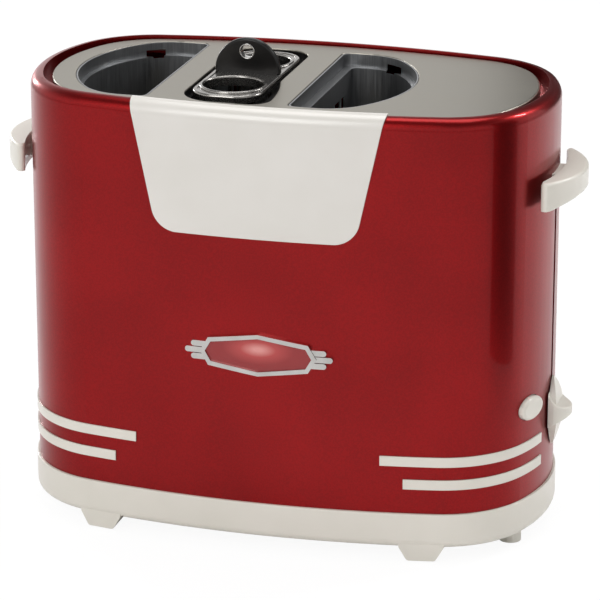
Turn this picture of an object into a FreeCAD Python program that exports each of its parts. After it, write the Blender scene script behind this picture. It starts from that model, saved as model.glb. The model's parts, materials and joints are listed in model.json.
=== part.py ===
import FreeCAD, Part
import math
import os
from FreeCAD import Vector

os.makedirs("parts", exist_ok=True)

# Everything is in millimetres. The origin is on the table under the middle of the body:
# X runs along the body towards the lever, -Y is the front and Z is up.

# Body outline: every quarter is a long side arc, a corner arc and an end arc, all tangent
HALF_LENGTH = 146.0
HALF_WIDTH = 82.0
SIDE_R = 515.0
CORNER_R = 54.0
END_R = 104.0

# Heights of the body
FOOT_H = 8.0
SKIRT_H = 20.0
RIM_Z = 246.9

# Outer shell
SHELL_WALL = 1.2
RIM_R = 6.5
RIM_LIP = 6.9
TROUGH_INSET = 13.0

# Base skirt, its feet and the bottom plate
SKIRT_PROUD = 1.5
SKIRT_WALL = 3.0
SKIRT_ROUND = 5.0
LEDGE_W = 6.5
LEDGE_T = 2.5
FOOT_X = 91.0
FOOT_TOP_W = 24.0
FOOT_BOTTOM_W = 15.0
FOOT_DEPTH = 18.0
PAD_R = 5.5
PAD_T = 1.4
PAD_PROUD = 0.8
BOTTOM_T = 1.2
BOTTOM_RISE = 0.6
VENT_PITCH = 18.0
VENT_HALF_W = 3.0
VENT_HALF_L = 28.0
VENT_R = 2.5
POST_END_INSET = 15.0
POST_Y = 31.0
POST_R = 5.0
END_FOOT_R = 6.0
SCREW_R = 1.5
SCREW_HEAD_R = 2.8
SCREW_HEAD_T = 1.8
SCREW_CLEARANCE = 0.05

# Top plate and the openings in it
PLATE_END_INSET = 12.0
PLATE_SIDE_INSET = 9.0
PLATE_T = 1.0
PLATE_DROP = 1.6
PLATE_EDGE_H = 6.0
PLATE_LIP_R = 0.5
PLATE_MARGIN = 7.0
BASKET_X = -27.0
BUN_GAP = 38.8
BUN_CHORD = 120.0
BUN_DEPTH = 55.5
BUN_END_R = 78.0
BUN_CORNER_R = 30.0
BUN_EDGE_R = 4.0

# Bun wells
LINER_T = 0.8
LINER_GAP = 0.3
LEDGE_DEPTH = 7.5
WELL_STEP = 3.8
WELL_STRAIGHT_STEP = 6.0
WINDOW_HALF = 39.0
WINDOW_LOW = 108.0
WINDOW_HIGH = 226.0
KEY_SLOT_W = 11.0
KEY_SLOT_H = 4.5
KEY_SLOT_REACH = 31.5
KEY_SLOT_Y = 56.4
KEY_SLOT_DEPTH = 12.0
KEY_SLOT_SINK = 1.2
GUARD_R = 0.8
GUARD_PITCH = 14.0

# Sausage chamber, collar and basket
RECESS_HALF_W = 22.0
RECESS_FRONT = 62.0
RECESS_REAR = 58.5
RECESS_R = 15.0
RECESS_FRONT_R = 20.0
SCOOP_REACH = 28.0
SCOOP_R = 11.0
SCOOP_START = -12.0
SCOOP_BOW = 1.7
COLLAR_T = 1.2
COLLAR_DROP = 6.0
BASKET_HALF_W = 19.5
BASKET_HALF_L = 50.5
BASKET_R = 15.0
BASKET_GAP = 0.8
FRAME_RISE = 0.6
RING_RISE = 0.7
FRAME_BEAD_H = 4.8
FRAME_BEAD_W = 2.4
FRAME_PLATE_T = 1.5
FRAME_PLATE_DROP = 0.4
FRAME_ROUND = 1.2
RING_ROUND = 0.95
SAUSAGE_R = 16.4
SAUSAGE_Y = 27.0
SAUSAGE_RING_W = 2.1
CAGE_WIRE_R = 1.1
CAGE_CLEARANCE = 0.2
CAGE_HOOP_R = 0.8
CAGE_FLOOR_T = 0.8
CAGE_WIRES = 6
CAGE_HOOPS = 3
GRIP_R = 18.5
GRIP_T = 4.0
GRIP_ROUND = 1.2
GRIP_Y = 2.0
GRIP_Z = 246.5
EYELET_R = 4.4
EYELET_WALL = 0.8
EYELET_RISE = 11.3
REST_GAP = 0.3

# Chassis
FLOOR_T = 1.2
FLOOR_GAP = 0.6
PANEL_T = 1.0
PANEL_FOOT = 8.0
HOOK_DROP = 8.0
HOOK_HALF = 3.0
LEFT_PANEL_INSET = 21.0
LEFT_PANEL_HALF = 34.0
RIGHT_PANEL_X = 76.0
RIGHT_PANEL_HALF = 56.0
HEATER_OFFSET = 35.0
HEATER_T = 0.6
HEATER_HALF = 39.0
HEATER_TOP = 228.0
RIBBON_T = 0.3
RIBBON_H = 2.0
RIBBON_TURNS = 12

# Carriage, drawn in its lowered place
TRAVEL = 104.0
BAR_Y = 46.5
BAR_T = 2.0
BAR_H = 6.0
BAR_TOP = 102.0
BAR_SLOT = 8.0
BAR_LEFT = -94.0
RACK_T = 1.2
RACK_INSET = 8.0
RACK_START = 10.0
SLIDE_X = 94.0
SLIDE_T = 1.5
SLIDE_HALF = 54.0
SLIDE_DROP = 4.0
SLIDE_H = 24.0
TONGUE_T = 2.0
TONGUE_HALF = 12.0
TONGUE_X = 120.0
ROD_X = 106.0
ROD_R = 3.0
ROD_FIT = 0.06
ROD_TOP = 236.0
ROD_FOOT_HALF = 8.0
ROD_FOOT_T = 6.0
ROD_ARM_DROP = 4.0
ROD_ARM_T = 2.0
BUSH_R = 6.0
BUSH_H = 22.0
ARMATURE_Y = 28.0
ARMATURE_HALF = 8.0
MAGNET_R = 7.5
MAGNET_H = 26.0
SPRING_X = 86.0
SPRING_R = 3.5
SPRING_WIRE_R = 0.4
SPRING_TURNS = 20

# Lever at the right end
LEVER_Z = 70.0
LEVER_SLOT_W = 4.0
LEVER_SLOT_TOP = 190.0
LEVER_BLADE_T = 2.4
LEVER_BLADE_H = 20.0
LENS_HALF_W = 9.5
LENS_LOW = 23.0
LENS_HIGH = 17.0
LENS_GAP = 0.4
LENS_T = 4.6
LENS_TIP_T = 0.9
KNOB_HALF_W = 10.5
KNOB_LOW = 10.5
KNOB_HIGH = 9.5
KNOB_REACH = 11.7

# Push button beside the lever
BUTTON_Y = -33.0
BUTTON_Z = 79.3
BUTTON_W = 21.0
BUTTON_H = 13.0
BUTTON_PROUD = 3.0
BUTTON_ROUND = 2.0
BUTTON_GAP = 0.35
BUTTON_TRAVEL = 2.0
BUTTON_FLANGE = 1.5
GUIDE_T = 1.6
STEM_R = 2.2
BOARD_HALF = 17.0
BOARD_T = 1.6
BOARD_TOP = 112.0
SWITCH_T = 4.0
SWITCH_HALF = 4.0
RELAY_T = 9.0
RELAY_FRONT = -12.0
RELAY_BACK = 2.0
RELAY_LOW = 84.0
RELAY_HIGH = 100.0
CHIP_T = 2.0
CHIP_HALF = 6.0
CHIP_LOW = 62.0
CHIP_HIGH = 76.0
CAPACITOR_R = 4.0
CAPACITOR_L = 10.0
CAPACITOR_Y = 9.0
CAPACITOR_Z = 92.0
GUIDE_DEPTH = 10.0

# Carrying handles
HANDLE_PROUD = 16.5
HANDLE_ARC_R = 54.0
HANDLE_TIP_R = 2.3
HANDLE_HALF = 37.0
HANDLE_STANDOFF = 4.0
HANDLE_TOP = 206.5
HANDLE_H = 15.5
HANDLE_TAPER = 4.5
HANDLE_ROUND = 1.8
HANDLE_UNDER_ROUND = 1.0
BRACKET_HALF = 11.0
BRACKET_DROP = 2.0
HANDLE_SCREW_Y = 8.0

# Trim on the front
TRIM_PLATE_T = 1.2
TRIM_PLATE_TOP = 69.5
TRIM_PLATE_LOW = 56.7
TRIM_PLATE_KNEE_Z = 187.5
TRIM_PLATE_LOW_Z = 177.6
TRIM_PLATE_R = 14.3
BADGE_X = 2.5
BADGE_Z = 113.2
BADGE_HALF_W = 32.3
BADGE_SHOULDER = 27.7
BADGE_SHOULDER_H = 7.8
BADGE_HALF_H = 11.7
BEZEL_W = 2.3
BEZEL_T = 2.4
FIELD_T = 1.2
WING_T = 1.8
WING_BAR_H = 3.2
WING_PITCH = 3.6
WING_LONG = 41.0
WING_SHORT = 37.5
STRIPE_T = 0.8
STRIPE_H = 5.5
STRIPE_LOW_Z = 42.0
STRIPE_PITCH = 13.0
STRIPE_LOW_X = 81.0
STRIPE_HIGH_X = 68.5
STRIPE_END_Y = -19.5

# Crumb tray at the rear and the cord inlet
TRAY_HALF = 84.0
TRAY_FRONT = -56.0
TRAY_Z = 14.0
TRAY_H = 8.0
TRAY_WALL = 1.0
TRAY_GAP = 0.6
TRAY_LIP_H = 10.0
TRAY_PULL_HALF = 30.0
RUNNER_T = 2.0
INLET_X = 98.0
INLET_Z = 18.0
INLET_BORE_R = 3.2
INLET_BODY_R = 4.6
INLET_FLANGE_R = 7.0
INLET_INSET = 4.4
INLET_DEPTH = 12.0
BLOCK_INSET = 15.0
BLOCK_HALF = 9.0
BLOCK_T = 12.0

# Levels and places that follow from the sizes above
PLATE_HALF_LENGTH = HALF_LENGTH - PLATE_END_INSET
PLATE_HALF_WIDTH = HALF_WIDTH - PLATE_SIDE_INSET
POST_X = HALF_LENGTH - POST_END_INSET
LEFT_PANEL_X = LEFT_PANEL_INSET - HALF_LENGTH
HANDLE_REACH = HALF_LENGTH + HANDLE_PROUD
HANDLE_INNER = HALF_LENGTH + HANDLE_STANDOFF
INLET_FLANGE_Y = HALF_WIDTH - INLET_INSET
SHELL_Z = FOOT_H + SKIRT_H
FLOOR_TOP = SHELL_Z + FLOOR_T
PLATE_TOP = RIM_Z - PLATE_DROP
PLATE_LOW = PLATE_TOP - PLATE_T
LEDGE_Z = PLATE_TOP - LEDGE_DEPTH
COLLAR_LOW = PLATE_TOP - COLLAR_DROP
FRAME_TOP = PLATE_TOP + FRAME_RISE
FRAME_LOW = FRAME_TOP - FRAME_BEAD_H
FRAME_PLATE_TOP = FRAME_TOP - FRAME_PLATE_DROP
CAGE_LOW = BAR_TOP + REST_GAP
CAGE_RING_R = SAUSAGE_R + CAGE_WIRE_R + CAGE_CLEARANCE
END_X = HALF_LENGTH - END_R
BAR_LOW = BAR_TOP - BAR_H
BUTTON_ANGLE = math.degrees(math.asin(BUTTON_Y / END_R))
STEM_END = END_R - 9.0
SWITCH_TOP = STEM_END - BUTTON_TRAVEL - REST_GAP
BOARD_FACE = SWITCH_TOP - SWITCH_T
FAR = 400.0


def flat(z):
    return lambda u, v: Vector(u, v, z)


def upright(y):
    return lambda u, v: Vector(u, y, v)


def sideways(x):
    return lambda u, v: Vector(x, u, v)


def outline(start, steps, place):
    """Face bounded by straight steps (u, v) and arcs (middle u, middle v, u, v)."""
    edges = []
    here = place(*start)
    for step in steps + [start]:
        there = place(*step[-2:])
        if (there - here).Length < 1e-6:
            continue
        if len(step) == 4:
            edges.append(Part.Arc(here, place(*step[:2]), there).toShape())
        else:
            edges.append(Part.makeLine(here, there))
        here = there
    return Part.Face(Part.Wire(edges))


def oval_face(half_length, half_width, side_r, corner_r, end_r, z):
    side_y = half_width - side_r
    end_x = half_length - end_r
    run = math.hypot(end_x, side_y)
    to_side = side_r - corner_r
    to_end = end_r - corner_r
    along = (to_side ** 2 - to_end ** 2 + run ** 2) / (2 * run)
    across = math.sqrt(to_side ** 2 - along ** 2)
    cx = (along * end_x - across * side_y) / run
    cy = side_y - (along * side_y + across * end_x) / run
    first = math.atan2(cy - side_y, cx)
    last = math.atan2(cy, cx - end_x)
    points = []
    for angle in (first, (first + last) / 2, last):
        points.append((cx + corner_r * math.cos(angle), cy + corner_r * math.sin(angle)))
    (sx, sy), (mx, my), (ex, ey) = points
    steps = [(0, half_width, sx, sy), (mx, my, ex, ey), (half_length, 0, ex, -ey), (mx, -my, sx, -sy),
             (0, -half_width, -sx, -sy), (-mx, -my, -ex, -ey), (-half_length, 0, -ex, ey),
             (-mx, my, -sx, sy)]
    return outline((-sx, sy), steps, flat(z))


def raised(face, height):
    return face.extrude(Vector(0, 0, height))


def oval(grow, low, high):
    """Solid with the body outline grown all round, between two heights."""
    face = oval_face(HALF_LENGTH + grow, HALF_WIDTH + grow, SIDE_R + grow, CORNER_R + grow, END_R + grow, low)
    return raised(face, high - low)


def rounded_oval(grow, low, high, radius):
    """The same solid with its top edge rounded."""
    body = oval(grow, low, high)
    return body.makeFillet(radius, edges_at(body, high))


def edges_at(shape, z):
    found = []
    for edge in shape.Edges:
        box = edge.BoundBox
        if abs(box.ZMin - z) < 1e-3 and abs(box.ZMax - z) < 1e-3:
            found.append(edge)
    return found


def block(x0, x1, y0, y1, z0, z1):
    return Part.makeBox(x1 - x0, y1 - y0, z1 - z0, Vector(x0, y0, z0))


def rod(x, y, low, high, radius):
    return Part.makeCylinder(radius, high - low, Vector(x, y, low), Vector(0, 0, 1))


def round_box(x, y, half_x, half_y, radius, low, high):
    """Upright block with four rounded corners."""
    k = radius * (1 - math.sqrt(0.5))
    right = x + half_x
    left = x - half_x
    back = y + half_y
    front = y - half_y
    steps = [(right - radius, front), (right - k, front + k, right, front + radius), (right, back - radius),
             (right - k, back - k, right - radius, back), (left + radius, back),
             (left + k, back - k, left, back - radius), (left, front + radius),
             (left + k, front + k, left + radius, front)]
    return raised(outline((left + radius, front), steps, flat(low)), high - low)


def bun_solid(side, straight, grow, low, high):
    """D-shaped solid; its straight side stands 'straight' out from the slot's own straight edge."""
    half = BUN_CHORD / 2 + grow
    corner_r = BUN_CORNER_R + grow
    end_r = BUN_END_R + grow
    end_t = BUN_DEPTH - BUN_END_R
    corner_y = BUN_CHORD / 2 - BUN_CORNER_R
    corner_t = end_t + math.sqrt((BUN_END_R - BUN_CORNER_R) ** 2 - corner_y ** 2)
    turn = math.atan2(corner_y, corner_t - end_t)
    mid = (turn + math.pi / 2) / 2
    mt = corner_t + corner_r * math.cos(mid)
    my = corner_y + corner_r * math.sin(mid)
    jt = end_t + end_r * math.cos(turn)
    jy = end_r * math.sin(turn)
    edge_r = BUN_EDGE_R
    k = edge_r * (1 - math.sqrt(0.5))
    base = min(straight, corner_t - edge_r)
    steps = [(base, half - edge_r), (base + k, half - k, base + edge_r, half), (corner_t, half),
             (mt, my, jt, jy), (end_t + end_r, 0, jt, -jy), (mt, -my, corner_t, -half),
             (base + edge_r, -half), (base + k, k - half, base, edge_r - half)]
    place = lambda t, y: Vector(BASKET_X + side * (BUN_GAP + t), y, low)
    solid = raised(outline((base, edge_r - half), steps, place), high - low)
    if straight > base:
        x = BASKET_X + side * (BUN_GAP + straight)
        solid = solid.cut(block(min(x, x - side * FAR), max(x, x - side * FAR), -FAR, FAR, low - 1, high + 1))
    return solid


def turned(shape, angle):
    """Turn a shape about the axis of the right end arc."""
    copy = shape.copy()
    copy.rotate(Vector(END_X, 0, 0), Vector(0, 0, 1), angle)
    return copy


def mirrored_x(shape):
    return shape.mirror(Vector(0, 0, 0), Vector(1, 0, 0))


def fused(shapes):
    shapes = list(shapes)
    return shapes[0].multiFuse(shapes[1:]).removeSplitter()


def on_front(face, low, high):
    """Trim that follows the front of the shell: an upright outline between two offsets of the body."""
    prism = face.extrude(Vector(0, -FAR, 0))
    box = prism.BoundBox
    skin = oval(high, box.ZMin - 1, box.ZMax + 1).cut(oval(low, box.ZMin - 1, box.ZMax + 1))
    return skin.common(prism)


def bar_paths():
    """The tall slots that the lifting bars run in."""
    low = BAR_LOW - REST_GAP * 10
    high = BAR_TOP + TRAVEL + REST_GAP * 10
    left = BASKET_X - BUN_GAP - RACK_START
    slots = []
    for side in (-1, 1):
        middle = side * BAR_Y
        slots.append(block(left, SLIDE_X, middle - BAR_SLOT / 2, middle + BAR_SLOT / 2, low, high))
    return slots


def handle_screw_places():
    return [HANDLE_SCREW_Y, -HANDLE_SCREW_Y]


def make_outer_shell():
    ledge_top = PLATE_TOP - PLATE_EDGE_H
    ledge_low = ledge_top - SHELL_WALL
    trough = oval(SHELL_WALL - RIM_LIP, ledge_low, RIM_Z)
    hollow = rounded_oval(-SHELL_WALL, SHELL_Z - 1, RIM_Z - SHELL_WALL, RIM_R - SHELL_WALL).cut(trough)
    shell = rounded_oval(0, SHELL_Z, RIM_Z, RIM_R).cut(hollow)
    shell = shell.cut(oval(-RIM_LIP, ledge_top, RIM_Z + 1))
    shell = shell.cut(oval(-TROUGH_INSET, ledge_low - 1, RIM_Z + 1))
    blade_low = LEVER_Z - LEVER_BLADE_H / 2 - LEVER_SLOT_W / 2
    slot = block(END_X, HALF_LENGTH + 1, -LEVER_SLOT_W / 2, LEVER_SLOT_W / 2, blade_low, LEVER_SLOT_TOP)
    hole = turned(button_solid(BUTTON_GAP, END_R - 10, END_R + 10), BUTTON_ANGLE)
    holes = [slot, hole]
    for y in handle_screw_places():
        z = HANDLE_TOP - HANDLE_H / 2
        radius = SCREW_R + SCREW_CLEARANCE
        holes.append(Part.makeCylinder(radius, FAR, Vector(-FAR / 2, y, z), Vector(1, 0, 0)))
    return shell.cut(fused(holes[:1]).multiFuse(holes[1:]))


def button_solid(grow, inner, outer):
    """Oval prism of the push button, drawn at angle zero of the end arc."""
    half_w = BUTTON_W / 2 + grow
    half_h = BUTTON_H / 2 + grow
    ellipse = Part.Ellipse(Vector(0, 0, 0), half_w, half_h).toShape()
    face = Part.Face(Part.Wire([ellipse]))
    face.rotate(Vector(0, 0, 0), Vector(0, 0, 1), 90)
    face.rotate(Vector(0, 0, 0), Vector(0, 1, 0), 90)
    face.translate(Vector(END_X + inner, 0, BUTTON_Z))
    return face.extrude(Vector(outer - inner, 0, 0))


def make_cancel_button():
    top = END_R + BUTTON_PROUD
    cap = button_solid(0, END_R - 4, top)
    rim = [edge for edge in cap.Edges if edge.BoundBox.XMin > END_X + top - 0.01]
    cap = cap.makeFillet(BUTTON_ROUND, rim)
    flange = button_solid(BUTTON_FLANGE, END_R - 4, END_R - 2.5)
    stem = Part.makeCylinder(STEM_R, END_R - 3 - STEM_END, Vector(END_X + STEM_END, 0, BUTTON_Z), Vector(1, 0, 0))
    return turned(fused([cap, flange, stem]), BUTTON_ANGLE)


def make_button_guide():
    grow = BUTTON_FLANGE + BUTTON_GAP
    inner = END_R - GUIDE_DEPTH
    tube = button_solid(grow + GUIDE_T, inner, END_R).cut(button_solid(grow, inner - 1, END_R + 1))
    return turned(tube, BUTTON_ANGLE).common(oval(-SHELL_WALL, SHELL_Z, RIM_Z - RIM_R))


def make_top_plate():
    end = HALF_LENGTH - PLATE_HALF_LENGTH
    side = HALF_WIDTH - PLATE_HALF_WIDTH

    def plate_solid(grow, low, high):
        face = oval_face(PLATE_HALF_LENGTH + grow, PLATE_HALF_WIDTH + grow, SIDE_R - side + grow,
                         CORNER_R - side + grow, END_R - end + grow, low)
        return raised(face, high - low)

    plate = plate_solid(0, PLATE_TOP - PLATE_EDGE_H, PLATE_TOP)
    plate = plate.makeFillet(PLATE_T, edges_at(plate, PLATE_TOP))
    plate = plate.cut(plate_solid(-PLATE_T, PLATE_TOP - PLATE_EDGE_H - 1, PLATE_LOW))
    plate = plate.cut(recess(0, PLATE_LOW - 1, PLATE_TOP + 1))
    for side in (-1, 1):
        plate = plate.cut(bun_solid(side, 0, 0, PLATE_LOW - 1, PLATE_TOP + 1))
    lips = []
    for edge in edges_at(plate, PLATE_TOP):
        box = edge.BoundBox
        inside_ends = max(-box.XMin, box.XMax) < PLATE_HALF_LENGTH - PLATE_MARGIN
        if inside_ends and abs(box.Center.y) < PLATE_HALF_WIDTH - PLATE_MARGIN:
            lips.append(edge)
    return plate.makeFillet(PLATE_LIP_R, lips)


def make_bun_liner(side):
    rim_top = PLATE_TOP - LINER_GAP
    outer = -LINER_GAP
    inner = outer - LINER_T
    straight = WELL_STRAIGHT_STEP
    rim = bun_solid(side, -outer, outer, LEDGE_Z - LINER_T, rim_top)
    rim = rim.cut(bun_solid(side, -inner, inner, LEDGE_Z, rim_top + 1))
    well = bun_solid(side, straight - LINER_T, -WELL_STEP + LINER_T, FLOOR_TOP, LEDGE_Z)
    liner = rim.fuse(well)
    liner = liner.cut(bun_solid(side, straight, -WELL_STEP, FLOOR_TOP - 1, LEDGE_Z + 1))
    wall_x = BASKET_X + side * (BUN_GAP + straight - LINER_T / 2)
    holes = [block(wall_x - 2, wall_x + 2, -WINDOW_HALF, WINDOW_HALF, WINDOW_LOW, WINDOW_HIGH)]
    holes += bar_paths()
    key_low = LEDGE_Z - KEY_SLOT_SINK
    reach = BASKET_X + side * (BUN_GAP + KEY_SLOT_REACH)
    for end in (-1, 1):
        middle = end * KEY_SLOT_Y
        holes.append(block(reach - KEY_SLOT_W / 2, reach + KEY_SLOT_W / 2, middle - KEY_SLOT_DEPTH / 2,
                           middle + KEY_SLOT_DEPTH / 2, key_low, key_low + KEY_SLOT_H))
    for hole in holes:
        liner = liner.cut(hole)
    return liner.removeSplitter()


def make_bun_guard(side):
    x = BASKET_X + side * (BUN_GAP + WELL_STRAIGHT_STEP - LINER_T - GUARD_R)
    half = WINDOW_HALF - GUARD_PITCH / 4
    low = WINDOW_LOW - 4
    high = WINDOW_HIGH + 4
    count = int(2 * half // GUARD_PITCH)
    parts = []
    for z in (low, high):
        parts.append(Part.makeCylinder(GUARD_R, 2 * half + 6, Vector(x, -half - 3, z), Vector(0, 1, 0)))
    for index in range(count + 1):
        y = (index - count / 2) * GUARD_PITCH
        parts.append(rod(x, y, low, high, GUARD_R * 0.9))
    return fused(parts)


def recess(grow, low, high):
    """Solid of the basket's recess: a rounded slot with a finger scoop at its front right corner."""
    w = RECESS_HALF_W
    rear = RECESS_REAR
    front = -RECESS_FRONT
    corner = RECESS_R * (1 - math.sqrt(0.5))
    front_corner = RECESS_FRONT_R * (1 - math.sqrt(0.5))
    scoop_corner = SCOOP_R * (1 - math.sqrt(0.5))
    scoop_y = front + SCOOP_R
    steps = [(SCOOP_REACH - SCOOP_R, front),
             (SCOOP_REACH - scoop_corner, front + scoop_corner, SCOOP_REACH, scoop_y),
             (SCOOP_REACH - SCOOP_BOW, (scoop_y + SCOOP_START) / 2, w, SCOOP_START), (w, rear - RECESS_R),
             (w - corner, rear - corner, w - RECESS_R, rear), (RECESS_R - w, rear),
             (corner - w, rear - corner, -w, rear - RECESS_R), (-w, front + RECESS_FRONT_R),
             (front_corner - w, front + front_corner, RECESS_FRONT_R - w, front)]
    face = outline((RECESS_FRONT_R - w, front), steps, flat(low))
    if grow:
        face = face.makeOffset2D(grow)
    face.translate(Vector(BASKET_X, 0, 0))
    return raised(face, high - low)


def basket_hole(low, high):
    """Clearance hole round the basket."""
    return round_box(BASKET_X, 0, BASKET_HALF_W + BASKET_GAP, BASKET_HALF_L + BASKET_GAP,
                     BASKET_R + BASKET_GAP, low, high)


def make_collar():
    """Black tub of the recess, hung under the edge of the plate's opening."""
    body = recess(COLLAR_T, COLLAR_LOW, PLATE_LOW)
    body = body.cut(recess(0, COLLAR_LOW + COLLAR_T, PLATE_TOP + 1))
    return body.cut(basket_hole(COLLAR_LOW - 1, PLATE_TOP + 1))


def make_chamber_sides():
    """Flat walls beside the basket, open to the heaters; the lifting bars run past their ends."""
    inner = BASKET_HALF_W + BASKET_GAP
    half = BAR_Y - BAR_SLOT / 2
    rows = 4
    pitch = (WINDOW_HIGH - WINDOW_LOW) / rows
    walls = []
    for side in (-1, 1):
        x = BASKET_X + side * (inner + LINER_T / 2)
        wall = block(x - LINER_T / 2, x + LINER_T / 2, -half, half, FLOOR_TOP, COLLAR_LOW)
        for row in range(rows):
            low = WINDOW_LOW + row * pitch + 3
            wall = wall.cut(block(x - 1, x + 1, 4 - WINDOW_HALF, WINDOW_HALF - 4, low, low + pitch - 6))
        walls.append(wall)
    return Part.makeCompound(walls)


def make_chamber_ends():
    """Shallow channels that close the basket's ends beyond the lifting bars."""
    half = BASKET_HALF_W + BASKET_GAP + LINER_T
    inner = BASKET_HALF_L + BASKET_GAP
    start = BAR_Y + BAR_SLOT / 2
    channels = []
    for side in (-1, 1):
        near = side * start
        far = side * (inner + LINER_T)
        channel = block(BASKET_X - half, BASKET_X + half, min(near, far), max(near, far), FLOOR_TOP, COLLAR_LOW)
        hollow = block(BASKET_X - half + LINER_T, BASKET_X + half - LINER_T, -inner, inner, FLOOR_TOP - 1,
                       COLLAR_LOW + 1)
        channels.append(channel.cut(hollow))
    return Part.makeCompound(channels)


def make_basket_frame():
    """Pressed frame: an outer bead, a flat plate just below its crest and a rolled rim round each hole."""
    bead = round_box(BASKET_X, 0, BASKET_HALF_W, BASKET_HALF_L, BASKET_R, FRAME_LOW, FRAME_TOP)
    bead = bead.makeFillet(FRAME_ROUND, edges_at(bead, FRAME_TOP) + edges_at(bead, FRAME_LOW))
    inner = FRAME_BEAD_W
    bead = bead.cut(round_box(BASKET_X, 0, BASKET_HALF_W - inner, BASKET_HALF_L - inner, BASKET_R - inner,
                              FRAME_LOW - 1, FRAME_TOP + 1))
    plate = round_box(BASKET_X, 0, BASKET_HALF_W - 1, BASKET_HALF_L - 1, BASKET_R - 1,
                      FRAME_PLATE_TOP - FRAME_PLATE_T, FRAME_PLATE_TOP)
    ring_top = FRAME_TOP + RING_RISE
    rings = []
    for side in (-1, 1):
        middle = side * SAUSAGE_Y
        plate = plate.cut(rod(BASKET_X, middle, FRAME_LOW - 1, ring_top + 1, SAUSAGE_R + SAUSAGE_RING_W / 2))
        ring = rod(BASKET_X, middle, FRAME_LOW, ring_top, SAUSAGE_R + SAUSAGE_RING_W)
        ring = ring.cut(rod(BASKET_X, middle, FRAME_LOW - 1, ring_top + 1, SAUSAGE_R))
        rings.append(ring.makeFillet(RING_ROUND, edges_at(ring, ring_top)))
    return fused([bead, plate] + rings)


def make_cage_floor():
    floor = round_box(BASKET_X, 0, CAGE_RING_R + CAGE_WIRE_R, BASKET_HALF_L - 2, BASKET_R, CAGE_LOW,
                      CAGE_LOW + CAGE_FLOOR_T)
    for side in (-1, 1):
        for step in (-1, 0, 1):
            drain = round_box(BASKET_X, side * SAUSAGE_Y + step * 8, 9, 1.5, 1.4, CAGE_LOW - 1, CAGE_LOW + 1)
            floor = floor.cut(drain)
    return floor


def cage_wires():
    wires = []
    for side in (-1, 1):
        for index in range(CAGE_WIRES):
            angle = math.radians((index + 0.5) * 360 / CAGE_WIRES)
            x = BASKET_X + CAGE_RING_R * math.cos(angle)
            y = side * SAUSAGE_Y + CAGE_RING_R * math.sin(angle)
            wires.append(rod(x, y, CAGE_LOW + CAGE_FLOOR_T, FRAME_LOW, CAGE_WIRE_R))
    return wires


def make_cage_hoops():
    """Hoops welded round the outside of the upright wires."""
    hoops = []
    wires = cage_wires()
    for side in (-1, 1):
        for index in range(CAGE_HOOPS):
            z = CAGE_LOW + (FRAME_LOW - CAGE_LOW) * (index + 1) / (CAGE_HOOPS + 1)
            middle = Vector(BASKET_X, side * SAUSAGE_Y, z)
            hoop = Part.makeTorus(CAGE_RING_R + CAGE_WIRE_R, CAGE_HOOP_R, middle, Vector(0, 0, 1))
            hoops.append(hoop.cut(wires))
    return Part.makeCompound(hoops)


def make_basket_grip():
    low = GRIP_Y - GRIP_T / 2
    disc = Part.makeCylinder(GRIP_R, GRIP_T, Vector(BASKET_X, low, GRIP_Z), Vector(0, 1, 0))
    rim = [edge for edge in disc.Edges if len(edge.Vertexes) == 1]
    disc = disc.makeFillet(GRIP_ROUND, rim)
    disc = disc.cut(block(BASKET_X - FAR, BASKET_X + FAR, -FAR, FAR, 0, FRAME_TOP + REST_GAP))
    half = BASKET_HALF_W - FRAME_BEAD_W - REST_GAP
    foot = block(BASKET_X - half, BASKET_X + half, low, low + GRIP_T, FRAME_PLATE_TOP, FRAME_TOP + 3)
    hole = Part.makeCylinder(EYELET_R, FAR, Vector(BASKET_X, -FAR / 2, GRIP_Z + EYELET_RISE), Vector(0, 1, 0))
    return disc.fuse(foot).cut(hole).removeSplitter()


def make_grip_eyelet():
    low = GRIP_Y - GRIP_T / 2 - 0.5
    at = Vector(BASKET_X, low, GRIP_Z + EYELET_RISE)
    ring = Part.makeCylinder(EYELET_R - 0.02, GRIP_T + 1, at, Vector(0, 1, 0))
    return ring.cut(Part.makeCylinder(EYELET_R - EYELET_WALL, FAR, at - Vector(0, 1, 0), Vector(0, 1, 0)))


def make_chassis_floor():
    floor = oval(-SHELL_WALL - FLOOR_GAP, SHELL_Z, FLOOR_TOP)
    for side in (-1, 1):
        floor = floor.cut(bun_solid(side, WELL_STRAIGHT_STEP, -WELL_STEP, SHELL_Z - 1, FLOOR_TOP + 1))
    hole = round_box(BASKET_X, 0, BASKET_HALF_W + BASKET_GAP, BASKET_HALF_L + BASKET_GAP,
                     BASKET_R + BASKET_GAP - LINER_T, SHELL_Z - 1, FLOOR_TOP + 1)
    floor = floor.cut(hole)
    for x in (-POST_X, POST_X):
        for y in (-POST_Y, POST_Y):
            floor = floor.cut(rod(x, y, SHELL_Z - 1, FLOOR_TOP + 1, SCREW_R + SCREW_CLEARANCE))
    return floor


def make_left_panel():
    x = LEFT_PANEL_X
    half = LEFT_PANEL_HALF
    tab_x = BASKET_X - BUN_GAP - BUN_DEPTH + LINER_GAP - REST_GAP
    panel = block(x, x + PANEL_T, -half, half, FLOOR_TOP, PLATE_LOW)
    tab = block(x, tab_x, -half / 2, half / 2, LEDGE_Z - LINER_T - PANEL_T, LEDGE_Z - LINER_T)
    foot = block(x - PANEL_FOOT, x, -half, half, FLOOR_TOP, FLOOR_TOP + PANEL_T)
    return fused([panel, tab, foot])


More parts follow.
